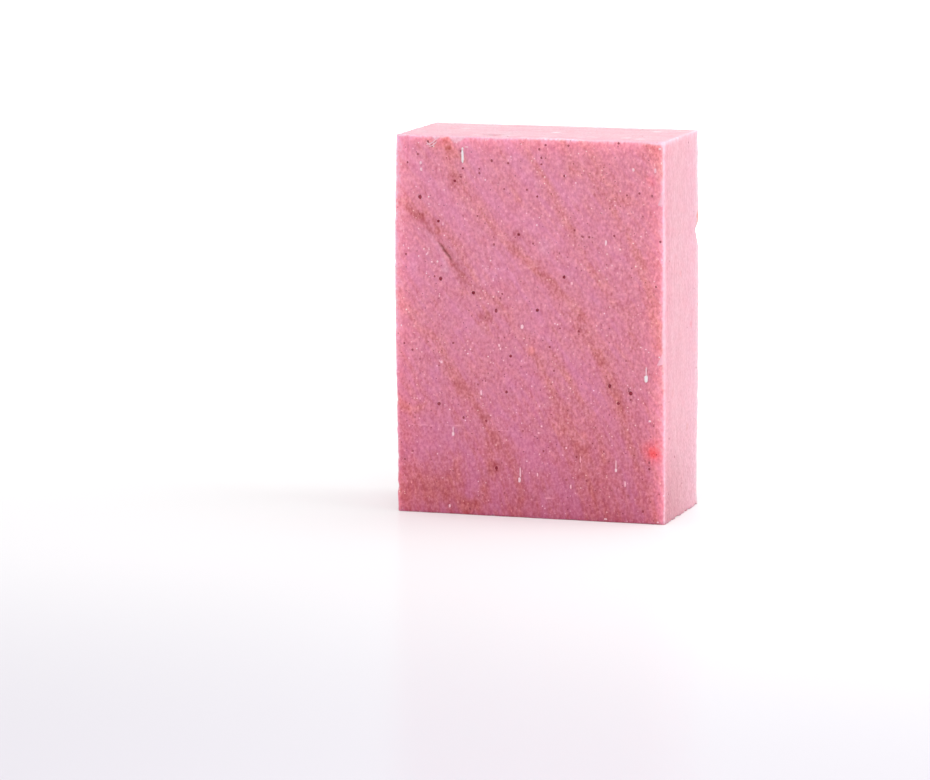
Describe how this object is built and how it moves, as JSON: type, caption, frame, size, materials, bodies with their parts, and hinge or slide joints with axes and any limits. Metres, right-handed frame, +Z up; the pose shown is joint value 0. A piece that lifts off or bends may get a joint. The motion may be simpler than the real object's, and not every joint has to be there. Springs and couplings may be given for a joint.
{
  "type": "bar of soap",
  "caption": "Hand-cut upright bar of solid pink soap, a thick rectangular block with slightly bowed sides, worn bevelled edges and small cutting marks.",
  "frame": {"origin": "middle of the box around the bar at its resting end", "axes": "+X across the broad face to the right, +Y from the front broad face to the back one, +Z up along the bar's long side"},
  "size_m": [0.0656, 0.0298, 0.089],
  "materials": {
    "soap": "waxy satin, mottled mauve pink with brown-orange swirls and dark specks"
  },
  "bodies": {
    "root": {"soap_bar": "soap"}
  },
  "joints": []
}
